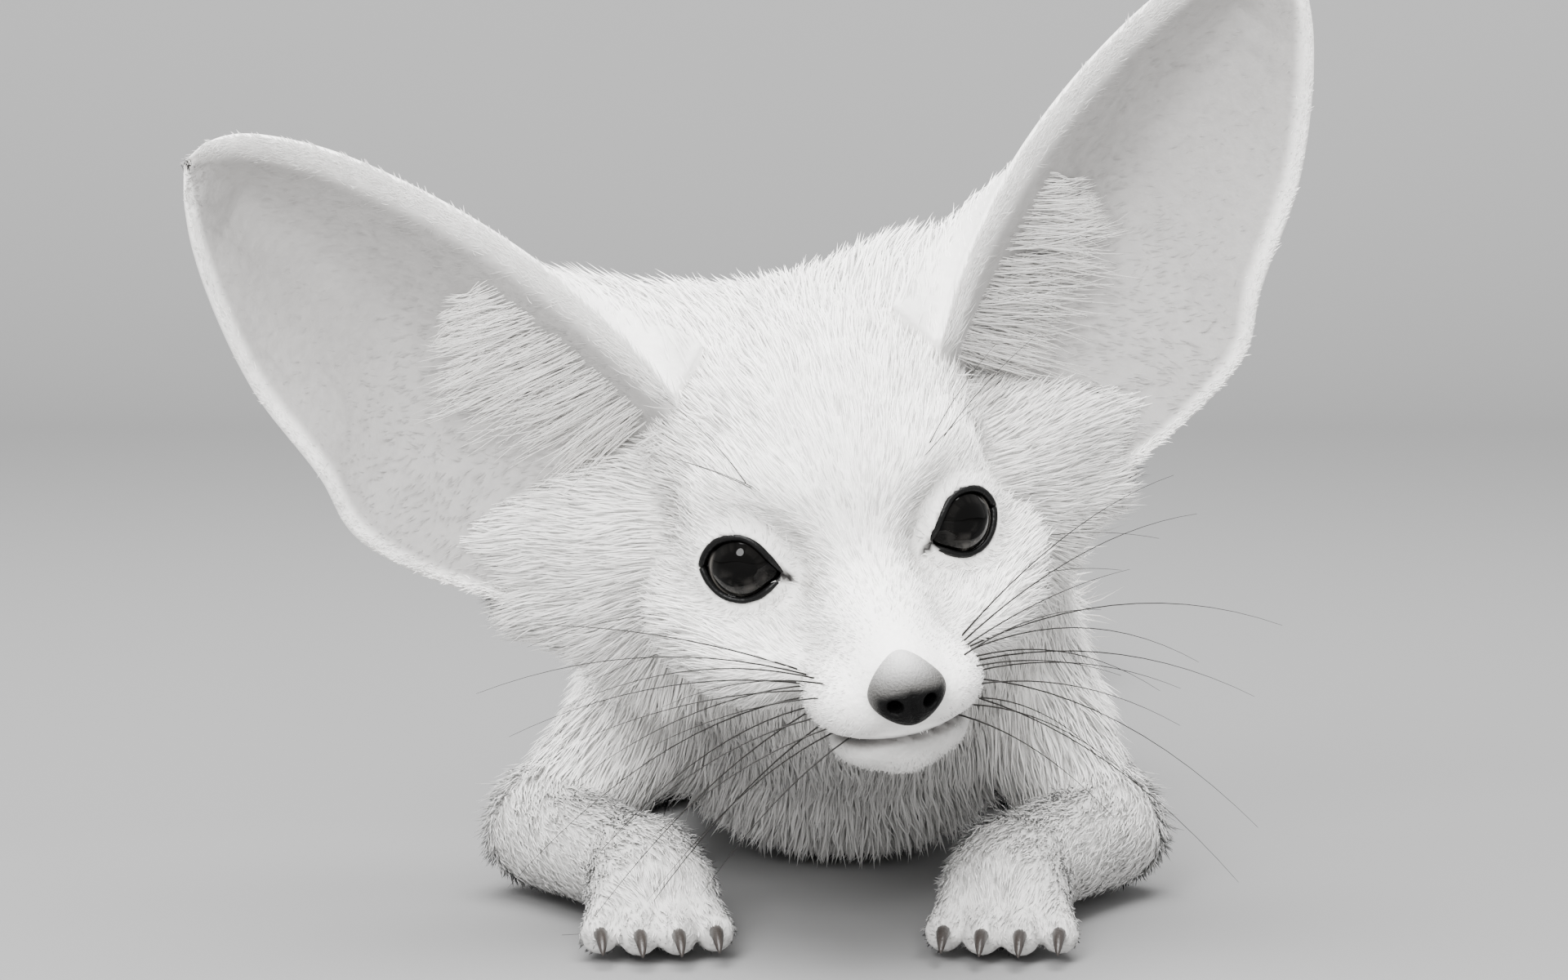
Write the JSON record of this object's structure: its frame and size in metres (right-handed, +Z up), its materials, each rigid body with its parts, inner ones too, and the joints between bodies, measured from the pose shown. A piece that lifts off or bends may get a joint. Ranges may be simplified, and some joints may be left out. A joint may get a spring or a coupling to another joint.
{
  "type": "fennec fox",
  "caption": "Young fennec fox with very large open ears, lying on its chest with its forepaws ahead, head raised, tilted and turned, and a bushy dark-tipped tail laid behind.",
  "frame": {"origin": "middle of the belly where it rests on the floor", "axes": "the fox faces -Y, its left side is +X and +Z is up"},
  "size_m": [0.1851, 0.4828, 0.1658],
  "materials": {
    "fur": "dense soft pale coat, matte",
    "ear_skin": "thin downy skin, matte, with veins showing",
    "dark_fur": "dark brown-black fur, matte",
    "nose": "moist grained bare skin",
    "eye": "wet and glossy, almost black",
    "claw": "smooth dark horn"
  },
  "bodies": {
    "root": {"nose": "nose", "eye_left": "eye", "eye_right": "eye", "head": "fur", "ear_left": "ear_skin", "ear_right": "ear_skin", "torso": "fur", "neck": "fur", "upper_foreleg_left": "fur", "forearm_left": "fur", "forepaw_left": "fur", "forepaw_left_claw_1": "claw", "forepaw_left_claw_2": "claw", "forepaw_left_claw_3": "claw", "forepaw_left_claw_4": "claw", "thigh_left": "fur", "lower_hind_leg_left": "fur", "hind_paw_left": "fur", "hind_paw_left_claw_1": "claw", "hind_paw_left_claw_2": "claw", "hind_paw_left_claw_3": "claw", "hind_paw_left_claw_4": "claw", "upper_foreleg_right": "fur", "forearm_right": "fur", "forepaw_right": "fur", "forepaw_right_claw_1": "claw", "forepaw_right_claw_2": "claw", "forepaw_right_claw_3": "claw", "forepaw_right_claw_4": "claw", "thigh_right": "fur", "lower_hind_leg_right": "fur", "hind_paw_right": "fur", "hind_paw_right_claw_1": "claw", "hind_paw_right_claw_2": "claw", "hind_paw_right_claw_3": "claw", "hind_paw_right_claw_4": "claw", "tail_base": "fur", "tail_middle": "fur", "tail_tip": "dark_fur"}
  },
  "joints": []
}
